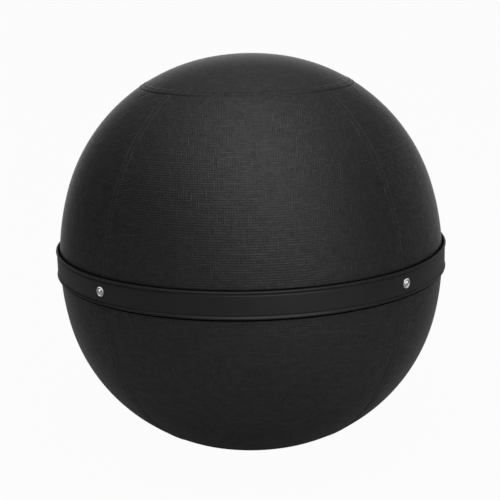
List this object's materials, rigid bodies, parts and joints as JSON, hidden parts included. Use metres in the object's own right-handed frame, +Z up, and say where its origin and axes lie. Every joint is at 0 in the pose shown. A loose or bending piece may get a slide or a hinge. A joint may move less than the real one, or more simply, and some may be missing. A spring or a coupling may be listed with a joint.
{
  "type": "sitting ball",
  "caption": "Inflated sitting ball in a panelled cloth cover with a flat weighted base, a zip round the base and a press-studded belt round its widest part.",
  "frame": {"origin": "centre of the flat base, on the floor", "axes": "+Z up, -Y towards the front panel, +X to the right seen from the front"},
  "size_m": [0.555, 0.555, 0.546],
  "materials": {
    "bladder": "satin",
    "plug": "matte",
    "cover_cloth": "woven",
    "base_rubber": "matte",
    "lining_cloth": "woven",
    "sand": "granular",
    "tape_cloth": "woven",
    "zip_plastic": "satin",
    "zip_metal": "satin",
    "belt_leather": "satin",
    "belt_backing": "matte",
    "stud_chrome": "polished",
    "stud_steel": "satin"
  },
  "bodies": {
    "ball": {"inner_ball": "bladder", "valve_seat": "bladder", "top_cap": "cover_cloth", "side_panel_front": "cover_cloth", "side_panel_right": "cover_cloth", "side_panel_back": "cover_cloth", "side_panel_left": "cover_cloth", "base_panel": "base_rubber", "base_bridge": "cover_cloth", "ballast_pouch": "lining_cloth", "ballast_fill": "sand", "zip_tape_upper": "tape_cloth", "zip_tape_lower": "tape_cloth", "zip_teeth_upper": "zip_plastic", "zip_teeth_lower": "zip_plastic", "zip_stops": "zip_plastic", "belt_face": "belt_leather", "belt_lining": "belt_backing", "tab_root": "belt_leather", "stud_caps": "stud_chrome", "stud_sockets": "stud_steel", "press_studs": "stud_steel", "stud_rivets": "stud_steel"},
    "plug": {"valve_plug": "plug"},
    "slider": {"zip_slider": "zip_metal"},
    "pull": {"zip_pull": "zip_metal"},
    "tab": {"tab_flap": "belt_leather", "tab_cap": "stud_chrome", "tab_socket": "stud_steel"}
  },
  "joints": [
    {"name": "zip_run", "type": "hinge", "parent": "ball", "child": "slider", "pos_m": [0, 0, 0.01966], "axis": [0, 0, 1], "range_deg": [0, 190]},
    {"name": "pull_swing", "type": "hinge", "parent": "slider", "child": "pull", "pos_m": [0.14458, -0.01451, 0.01556], "axis": [-0.869, 0.0872, -0.4871], "range_deg": [0, 45]},
    {"name": "plug_draw", "type": "slide", "parent": "ball", "child": "plug", "axis": [0, 0, -1], "range_m": [0, 0.016]},
    {"name": "tab_open", "type": "hinge", "parent": "ball", "child": "tab", "pos_m": [0.16885, 0.22386, 0.265], "axis": [0, 0, 1], "range_deg": [0, 70]}
  ]
}
